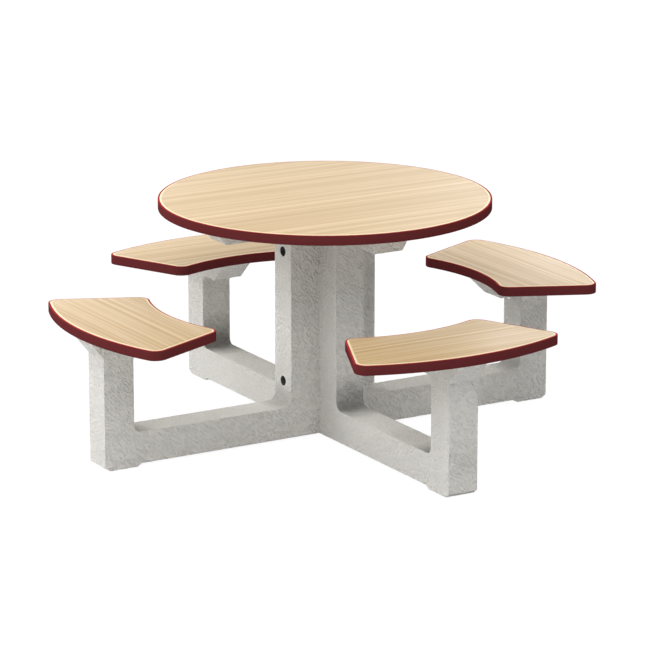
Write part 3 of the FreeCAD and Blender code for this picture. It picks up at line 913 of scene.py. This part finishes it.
@dataclass
class ConcreteFrame:
    """The outline that all the base's frames share, measured outwards from the table's axis."""

    reach: float = 0.812
    thickness: float = 0.102
    post_width: float = 0.102
    column_reach: float = 0.153
    rail_under: float = 0.0095
    rail_top: float = 0.111
    heel_run: float = 0.014
    foot_start: float = 0.701
    foot_end: float = 0.795
    toe_rise: float = 0.0115
    ledge: float = 0.359
    ledge_length: float = 0.077
    seat_under: float = 0.4215
    splay_in: float = 0.066
    splay_out: float = 0.0505
    arm_under: float = 0.6625
    arm_reach: float = 0.3815
    arm_splay: float = 0.049
    table_under: float = 0.7305
    column_fillet: float = 0.027
    post_fillet: float = 0.021
    arm_fillet: float = 0.020
    head_fillet: float = 0.017
    fillet_steps: int = 8
    arris: float = 0.001
    arris_steps: int = 3
    joint_start: float = 0.040  # where a half frame's skin begins, inside the full frame
    recess_radius: float = 0.016
    recess_floor: float = 0.108  # how far out it lies
    recess_steps: int = 48
    rod_heights: tuple[float, float] = (0.184, 0.604)
    grid: float = 0.005
    lump: float = 0.011
    lump_depth: float = 0.0010
    crease: float = math.radians(60)  # the least sharp edge that isn't shaded smooth

    @property
    def post_inner(self) -> float:
        """How far out the post's inner face stands."""
        return self.reach - self.post_width

    @property
    def head_inner(self) -> float:
        """How far out the inner end of the post's head stands."""
        return self.post_inner - self.ledge_length - self.splay_in

    def corners(self) -> list[tuple[float, float]]:
        """Lists the half outline's corners, from under the rail round to the top.

        Returns:
            Each corner's distance out and height.
        """
        return [
            (0.0, self.rail_under),
            (self.foot_start - self.heel_run, self.rail_under),
            (self.foot_start, 0.0),
            (self.foot_end, 0.0),
            (self.reach, self.toe_rise),
            (self.reach, self.ledge),
            (self.reach + self.splay_out, self.seat_under),
            (self.head_inner, self.seat_under),
            (self.post_inner - self.ledge_length, self.ledge),
            (self.post_inner, self.ledge),
            (self.post_inner, self.rail_top),
            (self.column_reach, self.rail_top),
            (self.column_reach, self.arm_under),
            (self.arm_reach, self.arm_under),
            (self.arm_reach + self.arm_splay, self.table_under),
            (0.0, self.table_under),
        ]

    def template(self) -> bpy.types.Object:
        """Makes half a frame along +X from the table's axis, its skin cut into a fine grid.

        Returns:
            The half frame, open at the axis.
        """
        half = self.thickness / 2
        bpy.ops.mesh.primitive_plane_add(size=SEED_SIZE)
        piece = added("frame template")
        with editing(piece):
            merge_to_point()
            corners = [Vector((out, -half, height)) for out, height in self.corners()]
            shift(corners[0])
            for last, corner in zip(corners, corners[1:]):
                extrude(corner - last)
            select_everything()
            bpy.ops.mesh.edge_face_add()
            extrude((0, self.thickness, 0))
            self._round_corners()
            face_outwards()
            pick(
                Element.EDGE,
                lambda c, d: abs(abs(c.y) - half) < NEAR and abs(d.y) < SQUARE and c.x > NEAR,
            )
            self._add_outer_corners()
            bpy.ops.mesh.bevel(
                offset=self.arris, segments=self.arris_steps, affect="EDGES", clamp_overlap=False
            )
            pick(Element.FACE, lambda c, n: n.x < -ALONG and c.x < NEAR)
            bpy.ops.mesh.delete(type="FACE")
            self._cut_grid()
        return piece

    def _round_corners(self) -> None:
        """Rounds the four hollow corners of the outline."""
        for x, z, radius in (
            (self.column_reach, self.rail_top, self.column_fillet),
            (self.post_inner, self.rail_top, self.post_fillet),
            (self.column_reach, self.arm_under, self.arm_fillet),
            (self.post_inner, self.ledge, self.head_fillet),
        ):
            pick(
                Element.EDGE,
                lambda c, d: abs(d.y) > ALONG and abs(c.x - x) < NEAR and abs(c.z - z) < NEAR,
            )
            bpy.ops.mesh.bevel(
                offset=radius, segments=self.fillet_steps, affect="EDGES", clamp_overlap=False
            )

    def _add_outer_corners(self) -> None:
        """Adds the outline's standing corners to the selected edges."""
        standing = [
            (self.reach, self.toe_rise),
            (self.reach + self.splay_out, self.seat_under),
            (self.head_inner, self.seat_under),
            (self.arm_reach + self.arm_splay, self.table_under),
        ]
        mesh = bmesh.from_edit_mesh(bpy.context.edit_object.data)
        for edge in mesh.edges:
            middle = (edge.verts[0].co + edge.verts[1].co) / 2
            if abs(middle.y) < NEAR and any(
                abs(middle.x - x) < NEAR and abs(middle.z - z) < NEAR for x, z in standing
            ):
                edge.select_set(True)
        bmesh.update_edit_mesh(bpy.context.edit_object.data)

    def _cut_grid(self) -> None:
        """Cuts the skin into cells small enough to take the blasted relief."""
        spans = (
            (Vector((1, 0, 0)), 0.0, self.reach + self.splay_out),
            (Vector((0, 1, 0)), -self.thickness / 2, self.thickness / 2),
            (Vector((0, 0, 1)), 0.0, self.table_under),
        )
        for axis, low, high in spans:
            for step in range(1, round((high - low) / self.grid)):
                slice_at(axis * (low + step * self.grid), axis)

    def weather(self, piece: bpy.types.Object) -> None:
        """Gives a frame the uneven skin of blasted concrete, its feet kept flat on the floor.

        Args:
            piece: the frame.
        """
        skin = bpy.data.textures.new("Blasted skin", "CLOUDS")
        skin.noise_scale = self.lump
        skin.noise_depth = 1
        modify(
            piece,
            "DISPLACE",
            texture=skin,
            texture_coords="LOCAL",
            strength=self.lump_depth,
            mid_level=NOISE_MIDDLE,
        )
        with editing(piece):
            pick(Element.VERTEX, lambda c, n: c.z < 0.0)
            bpy.ops.transform.resize(value=(1.0, 1.0, 0.0), center_override=(0.0, 0.0, 0.0))
        smooth(piece, self.crease)

    def drill(self, piece: bpy.types.Object) -> None:
        """Sinks the two round recesses for the rods' nuts into a half frame's column face.

        Args:
            piece: the half frame, lying along +X.
        """
        outer = self.column_reach + self.arris
        for height in self.rod_heights:
            bpy.ops.mesh.primitive_cylinder_add(
                vertices=self.recess_steps,
                radius=self.recess_radius,
                depth=outer - self.recess_floor,
                location=((outer + self.recess_floor) / 2, 0, height),
                rotation=(0, math.pi / 2, 0),
            )
            cutter = added("cutter")
            modify(piece, "BOOLEAN", object=cutter, operation="DIFFERENCE", solver="EXACT")
            bpy.data.objects.remove(cutter)
            self._shade_recess(piece, height)

    def _shade_recess(self, piece: bpy.types.Object, height: float) -> None:
        """Gives the wall of one recess the second material, a painted shade.

        Args:
            piece: the half frame, lying along +X.
            height: the recess's height above the floor.
        """
        radius = self.recess_radius + NEAR
        with editing(piece):
            pick(
                Element.FACE,
                lambda c, n: math.hypot(c.y, c.z - height) < radius and abs(n.x) < SQUARE,
            )
            paint_picked(piece)

    def half_frame(self, template: bpy.types.Object, side: Side, palette: Palette) -> None:
        """Makes the half frame on one side of the full frame.

        Args:
            template: half a frame, open at the axis.
            side: the side that it stands on.
            palette: the finishes.
        """
        piece = copied(template, f"base_{side.word}_half_frame")
        with editing(piece):
            select_everything()
            bpy.ops.mesh.bisect(
                plane_co=(self.joint_start, 0, 0),
                plane_no=(1, 0, 0),
                clear_inner=True,
                use_fill=True,
            )
        turn_about_axis(piece, side.value)
        self.weather(piece)
        turn_about_axis(piece, -side.value)
        self.drill(piece)
        turn_about_axis(piece, side.value)
        nodes = [f"{side.word}_half_frame"]
        hand_over(piece, "concrete", nodes, palette.side_concrete, palette.recess)

    def build(self, palette: Palette) -> None:
        """Builds the two half frames, and the full frame between them from front to back.

        Args:
            palette: the finishes.
        """
        template = self.template()
        for side in (Side.RIGHT, Side.LEFT):
            self.half_frame(template, side, palette)
        full = template
        full.name = "base_full_frame"
        modify(full, "MIRROR", use_axis=(True, False, False), use_clip=True, merge_threshold=NEAR)
        turn_about_axis(full, Side.BACK.value)
        self.weather(full)
        hand_over(full, "concrete", ["main_frame"], palette.concrete)


# ------------------------------------------------------------------ slabs


@dataclass
class Slab:
    """A board between a laminate and a backing sheet, in an edge band."""

    name: str
    thickness: float = 0.0315
    laminate: float = 0.002
    backer: float = 0.0015
    band: float = 0.006
    bevel_in: float = 0.006
    bevel_down: float = 0.001
    band_round: float = 0.0015
    band_round_steps: int = 3
    lit_tilt: float = 0.4  # how much a face of the band looks up to take the painted highlight

    def outline(self, inset: float, height: float) -> bpy.types.Object:
        """One flat face with the slab's outline, inset all round, facing up."""
        raise NotImplementedError

    def sheet(self, name: str, inset: float, low: float, high: float) -> bpy.types.Object:
        """Draws the outline down from one height to another.

        Args:
            name: the sheet's name.
            inset: how far it lies inside the slab's edge all round.
            low: its underside's height.
            high: its top's height.

        Returns:
            The sheet.
        """
        piece = self.outline(inset, high)
        piece.name = name
        with editing(piece):
            select_everything()
            extrude((0, 0, low - high))
            face_outwards()
        return piece

    def build(
        self, top: float, grain: bpy.types.Material, palette: Palette
    ) -> list[bpy.types.Object]:
        """Builds the slab's visible pieces.

        Args:
            top: the height of the slab's top.
            grain: the laminate's material.
            palette: the finishes.

        Returns:
            The laminate's face, the edge band and the backing sheet.
        """
        under = top - self.thickness
        face = self.sheet(f"{self.name}_face", self.band, top - self.laminate, top)
        self._trim(face, top)
        smooth(face)
        band = self._edge_band(under, top - self.bevel_down)
        smooth(band)
        backing = self.sheet(f"{self.name}_backing", self.band, under, under + self.backer)
        hand_over(face, "laminate", [f"{self.name}_laminate"], grain, palette.oak_rim)
        # The second is the painted highlight on the band's upper faces.
        edging = (palette.edging, palette.edging_highlight)
        hand_over(band, "edge_band", [f"{self.name}_edge_band"], *edging)
        hand_over(backing, "backer", [f"{self.name}_backer"], palette.backing)
        return [face, band, backing]

    def _trim(self, face: bpy.types.Object, top: float) -> None:
        """Bevels the laminate's rim, and gives the bevel the second material.

        Args:
            face: the laminate's sheet.
            top: the height of its top.
        """
        with editing(face):
            pick(Element.FACE, lambda c, n: n.z > ALONG)
            bpy.ops.mesh.inset(thickness=self.bevel_in, depth=0.0)
            pick(Element.FACE, lambda c, n: n.z > ALONG and not self._is_cap(c))
            paint_picked(face)
            pick(Element.VERTEX, lambda c, n: c.z > top - NEAR and self._on_outline(c, self.band))
            shift((0, 0, -self.bevel_down))

    def _edge_band(self, low: float, high: float) -> bpy.types.Object:
        """Makes the wall round the slab, with its outer edges rounded over.

        Args:
            low: its underside's height.
            high: its top's height.

        Returns:
            The band, its upper faces in the second material, a painted highlight.
        """
        band = self.outline(0.0, high)
        band.name = f"{self.name}_edging"
        with editing(band):
            bpy.ops.mesh.select_mode(type=Element.FACE.value)
            select_everything()
            bpy.ops.mesh.inset(thickness=self.band, depth=0.0)
            bpy.ops.mesh.delete(type="FACE")
            select_everything()
            extrude((0, 0, low - high))
            face_outwards()
            pick(
                Element.EDGE,
                lambda c, d: abs(d.z) < SQUARE
                and min(abs(c.z - low), abs(c.z - high)) < NEAR
                and self._edge_on_outline(c),
            )
            bpy.ops.mesh.bevel(
                offset=self.band_round, segments=self.band_round_steps, affect="EDGES"
            )
            # Painted highlight: the faces that look up take the brighter red.
            pick(Element.FACE, lambda c, n: n.z > self.lit_tilt)
            paint_picked(band)
        return band

    def _is_cap(self, centre: Vector) -> bool:
        """Whether a face's middle is that of the big flat face inside the rim."""
        raise NotImplementedError

    def _on_outline(self, place: Vector, inset: float) -> bool:
        """Whether a place lies on the outline, inset by so much."""
        raise NotImplementedError

    def _edge_on_outline(self, middle: Vector) -> bool:
        """Whether an edge's middle lies by the outer outline, to within a chord's sag."""
        raise NotImplementedError


@dataclass
class RoundSlab(Slab):
    """The table's round slab."""

    radius: float = 0.52375
    steps: int = 256

    def outline(self, inset: float, height: float) -> bpy.types.Object:
        """Makes a disc that faces up.

        Args:
            inset: how far it lies inside the slab's edge.
            height: its height above the floor.

        Returns:
            The disc.
        """
        bpy.ops.mesh.primitive_circle_add(
            vertices=self.steps,
            radius=self.radius - inset,
            fill_type="NGON",
            location=(0, 0, height),
        )
        return added("disc")

    def _is_cap(self, centre: Vector) -> bool:
        """Whether a face's middle is the slab's own middle."""
        return centre.xy.length < NEAR

    def _on_outline(self, place: Vector, inset: float) -> bool:
        """Whether a place lies on the circle, inset by so much."""
        return abs(place.xy.length - (self.radius - inset)) < NEAR

    def _edge_on_outline(self, middle: Vector) -> bool:
        """Whether an edge's middle lies in the outer half of the band."""
        return middle.xy.length > self.radius - self.band / 2


@dataclass
class SeatSlab(Slab):
    """A seat's slab, an arc-ended sector about the table's axis, drawn along +X and then turned."""

    side: Side = Side.RIGHT
    inner: float = 0.5565
    outer: float = 0.873
    half_angle: float = math.radians(24.8)
    corner: float = 0.038
    arc_steps: int = 72
    corner_steps: int = 14
    cap_reach: float = 0.1  # how far out or in from the seat's middle the big face's may lie
    cap_sideways: float = 0.01  # and how far to either side

    def _corner_centres(self, inset: float) -> list[tuple[float, float, float]]:
        """Places the centres that the corners are rounded about.

        Args:
            inset: how far the outline lies inside the slab's edge.

        Returns:
            The distance out, angle and radius of an outer and of an inner corner's centre.
        """
        radius = self.corner - inset
        places = []
        for along in (self.outer - inset - radius, self.inner + inset + radius):
            angle = self.half_angle - math.asin((inset + radius) / along)
            places.append((along, angle, radius))
        return places

    def outline(self, inset: float, height: float) -> bpy.types.Object:
        """Makes a sector with rounded corners that faces up.

        The outline runs anticlockwise from above: along the outer arc, down the side towards +Y,
        back along the inner arc and out along the other side.

        Args:
            inset: how far it lies inside the slab's edge all round.
            height: its height above the floor.

        Returns:
            The sector.
        """
        (far, far_angle, radius), (near, near_angle, _) = self._corner_centres(inset)
        far_turn = math.pi / 2 + self.half_angle - far_angle
        near_turn = math.pi / 2 - self.half_angle + near_angle
        axis = (0, 0, height)
        far_left, far_right = (self._polar(far, turn, height) for turn in (far_angle, -far_angle))
        near_left, near_right = (
            self._polar(near, turn, height) for turn in (near_angle, -near_angle)
        )
        slant, rise = math.sin(self.half_angle), math.cos(self.half_angle)
        bpy.ops.mesh.primitive_plane_add(size=SEED_SIZE)
        piece = added("sector")
        with editing(piece):
            merge_to_point()
            shift(self._polar(self.outer - inset, -far_angle, height))
            self._spin_last(2 * far_angle, axis, self.arc_steps)
            self._spin_last(far_turn, far_left, self.corner_steps)
            self._run_to(near_left + radius * Vector((-slant, rise, 0)))
            self._spin_last(near_turn, near_left, self.corner_steps)
            self._spin_last(-2 * near_angle, axis, self.arc_steps)
            self._spin_last(near_turn, near_right, self.corner_steps)
            self._run_to(far_right + radius * Vector((-slant, -rise, 0)))
            self._spin_last(far_turn, far_right, self.corner_steps)
            select_everything()
            bpy.ops.mesh.remove_doubles(threshold=NEAR)
            bpy.ops.mesh.edge_face_add()
            face_outwards()
            if bmesh.from_edit_mesh(piece.data).faces[:][0].normal.z < 0:
                bpy.ops.mesh.flip_normals()
        return piece

    @staticmethod
    def _polar(radius: float, angle: float, height: float) -> Vector:
        """A place by its distance and angle about the table's axis."""
        return Vector((radius * math.cos(angle), radius * math.sin(angle), height))

    @staticmethod
    def _spin_last(angle: float, centre: Sequence[float], steps: int) -> None:
        """Draws an arc on from the selected end of the outline.

        Args:
            angle: how far it turns, anticlockwise from above.
            centre: the arc's centre.
            steps: how many straight pieces it has.
        """
        bpy.ops.mesh.spin(
            steps=steps, dupli=False, angle=angle, center=tuple(centre), axis=(0, 0, -1)
        )

    @staticmethod
    def _run_to(place: Vector) -> None:
        """Draws a straight line on from the selected end of the outline.

        Args:
            place: where the line ends.
        """
        mesh = bmesh.from_edit_mesh(bpy.context.edit_object.data)
        end = next(v.co.copy() for v in mesh.verts if v.select)
        extrude(place - end)

    def _is_cap(self, centre: Vector) -> bool:
        """Whether a face's middle lies near the middle of the sector."""
        offset = abs(centre.x - (self.inner + self.outer) / 2)
        return abs(centre.y) < self.cap_sideways and offset < self.cap_reach

    def _on_outline(self, place: Vector, inset: float) -> bool:
        """Whether a place lies on the sector's outline, inset by so much."""
        return self._distance_in(place) < inset + NEAR

    def _edge_on_outline(self, middle: Vector) -> bool:
        """Whether an edge's middle lies in the outer half of the band."""
        return self._distance_in(middle) < self.band / 2

    def _distance_in(self, place: Vector) -> float:
        """Measures how far a place lies inside the outline.

        Args:
            place: the place, with the seat lying along +X.

        Returns:
            The distance to the outline, less than 0 outside it.
        """
        along = place.xy.length
        angle = abs(math.atan2(place.y, place.x))
        to_side = along * math.sin(self.half_angle - angle)
        depth = min(self.outer - along, along - self.inner, to_side)
        for far, turn, radius in self._corner_centres(0.0):
            offset = Vector((place.x, abs(place.y), 0)) - self._polar(far, turn, 0)
            is_outer = far > (self.inner + self.outer) / 2
            beyond_arc = along > far if is_outer else along < far
            if angle > turn and beyond_arc:
                depth = min(depth, radius - offset.length)
        return depth

    def build(
        self, top: float, grain: bpy.types.Material, palette: Palette
    ) -> list[bpy.types.Object]:
        """Builds the seat's pieces and turns them to its side of the table.

        Args:
            top: the height of the seat's top.
            grain: the laminate's material.
            palette: the finishes.

        Returns:
            The laminate's face, the edge band and the backing sheet.
        """
        pieces = super().build(top, grain, palette)
        for piece in pieces:
            turn_about_axis(piece, self.side.value)
        return pieces


# ------------------------------------------------------------------ carried-over nodes


def dress_nodes(palette: Palette) -> None:
    """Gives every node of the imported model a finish.

    Args:
        palette: the finishes.
    """
    by_slot = {
        "zinc_steel": palette.steel,
        "core": palette.board,
        "backer": palette.backing,
        "laminate": palette.oak,
        "edge_band": palette.edging,
        "concrete": palette.concrete,
    }
    slots = {row["node"]: row["material_slot"] for row in frame["record"]["subparts"]}
    for name, node in frame["nodes"].items():
        # The rods take the near-black steel, painted shade for the recesses they sit in.
        finish = palette.recess_shaded_steel if name.startswith("frame_rod") else by_slot[slots[name]]
        node.data.materials.clear()
        node.data.materials.append(finish)


# ------------------------------------------------------------------ studio


@dataclass(frozen=True)
class Lamp:
    """A square soft lamp, placed round the table by its azimuth and elevation in degrees."""

    name: str
    azimuth: float
    elevation: float
    power: float
    size: float = 8.0
    distance: float = 9.5


LAMPS = (
    Lamp("Back left", -150, 24, 690.0),
    Lamp("Low back left", -150, 8, 130.0),
    Lamp("Low back", 180, 8, 230.0),
    Lamp("High left", -60, 40, 310.0),
    Lamp("Left", -90, 40, 360.0),
    Lamp("Front", 0, 56, 560.0),
    Lamp("Right", 60, 8, 90.0),
    Lamp("Right back", 120, 24, 400.0),
)


@dataclass
class Studio:
    """Pale floor, soft lamps and the camera."""

    azimuth: float = math.radians(-30.6208)
    elevation: float = math.radians(15.0054)
    distance: float = 11.5298
    target: Vector = field(default_factory=lambda: Vector((0.0, 0.0, 0.34489)))
    lens: float = 201.966
    sensor: float = 36.0
    sight: float = 100.0
    floor_size: float = 60.0
    floor_drop: float = 0.0005  # keeps the floor clear of the feet
    floor_grey: float = 0.82
    floor_roughness: float = 0.95
    floor_glow: float = 1.06
    glow_share: float = 0.9

    @staticmethod
    def _direction(azimuth: float, elevation: float) -> Vector:
        """The way from the table out to a place round it, azimuth 0 being the front."""
        across = math.cos(elevation)
        return Vector((math.sin(azimuth) * across, -math.cos(azimuth) * across, math.sin(elevation)))

    def _hang(self, name: str, data: bpy.types.ID, away: Vector, distance: float) -> bpy.types.Object:
        """Puts a camera or a lamp in the scene, looking at the middle of the table.

        Args:
            name: its name.
            data: the camera or the lamp.
            away: the way from the table to it.
            distance: how far off it stands.

        Returns:
            Its object.
        """
        hung = bpy.data.objects.new(name, data)
        bpy.context.scene.collection.objects.link(hung)
        hung.location = self.target + away * distance
        hung.rotation_euler = (-away).to_track_quat("-Z", "Y").to_euler()
        return hung

    def camera(self) -> None:
        """A long lens that looks slightly down at the table."""
        data = bpy.data.cameras.new("Camera")
        data.lens, data.sensor_width = self.lens, self.sensor
        data.clip_end = self.sight
        back = self._direction(self.azimuth, self.elevation)
        bpy.context.scene.camera = self._hang("Camera", data, back, self.distance)

    def lamp(self, lamp: Lamp) -> None:
        """Hangs one soft lamp.

        Args:
            lamp: the lamp's place, size and power.
        """
        data = bpy.data.lights.new(lamp.name, "AREA")
        data.shape, data.size = "SQUARE", lamp.size
        data.energy = lamp.power
        away = self._direction(math.radians(lamp.azimuth), math.radians(lamp.elevation))
        self._hang(lamp.name, data, away, lamp.distance)

    @staticmethod
    def _seen_directly(shader: Shader) -> bpy.types.NodeSocket:
        """Tells the rays that show the surroundings from those that light the table.

        Args:
            shader: the material's or world's shader helper.

        Returns:
            A socket that is 1 for rays from the camera, a mirror surface or glass, and 0 for others.
        """
        path = shader.node("ShaderNodeLightPath")
        seen = shader.sums("MAXIMUM", path.outputs["Is Camera Ray"], path.outputs["Is Glossy Ray"])
        return shader.sums("MAXIMUM", seen, path.outputs["Is Transmission Ray"])

    def world(self) -> None:
        """White where the surroundings are seen directly, and no light from them otherwise."""
        world = bpy.data.worlds.new("Studio")
        world.use_nodes = True
        bpy.context.scene.world = world
        shader = Shader(world.node_tree)
        background = world.node_tree.nodes["Background"]
        tone = shader.mix(self._seen_directly(shader), BLACK, WHITE)
        shader.link(tone, background.inputs["Color"])

    def floor(self) -> None:
        """A white floor that keeps a faint shadow."""
        bpy.ops.mesh.primitive_plane_add(size=self.floor_size, location=(0, 0, -self.floor_drop))
        floor = added("floor")
        material = bpy.data.materials.new("Floor")
        material.use_nodes = True
        shader = Shader(material.node_tree)
        nodes = material.node_tree.nodes
        surface = nodes["Principled BSDF"]
        surface.inputs["Base Color"].default_value = (*(self.floor_grey,) * 3, 1.0)
        surface.inputs["Roughness"].default_value = self.floor_roughness
        surface.inputs["Specular IOR Level"].default_value = 0.0
        glow = shader.node("ShaderNodeEmission", Color=(*WHITE, 1.0), Strength=self.floor_glow)
        share = shader.sums("MULTIPLY", self._seen_directly(shader), self.glow_share)
        blend = shader.node("ShaderNodeMixShader", Fac=share)
        shader.link(surface.outputs["BSDF"], blend.inputs[1])
        shader.link(glow.outputs["Emission"], blend.inputs[2])
        shader.link(blend.outputs["Shader"], nodes["Material Output"].inputs["Surface"])
        floor.data.materials.append(material)

    def build(self) -> None:
        """Sets up the whole studio."""
        bpy.context.scene.view_settings.view_transform = "Standard"
        self.camera()
        self.world()
        self.floor()
        for lamp in LAMPS:
            self.lamp(lamp)


# ------------------------------------------------------------------ the whole table


def main() -> None:
    """Builds the table's pieces and the studio round them."""
    logging.basicConfig(level=logging.INFO, format="%(message)s")
    palette = Palette()
    dress_nodes(palette)
    ConcreteFrame().build(palette)
    table_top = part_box("tabletop_laminate")[1].z
    RoundSlab("tabletop").build(table_top, palette.oak, palette)
    seat_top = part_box("seat_right_laminate")[1].z
    for side in Side:
        along_y = side in (Side.RIGHT, Side.LEFT)
        grain = palette.seat_oak_turned if along_y else palette.seat_oak
        SeatSlab(f"seat_{side.word}", side=side).build(seat_top, grain, palette)
    Studio().build()


if __name__ == "__main__":
    main()
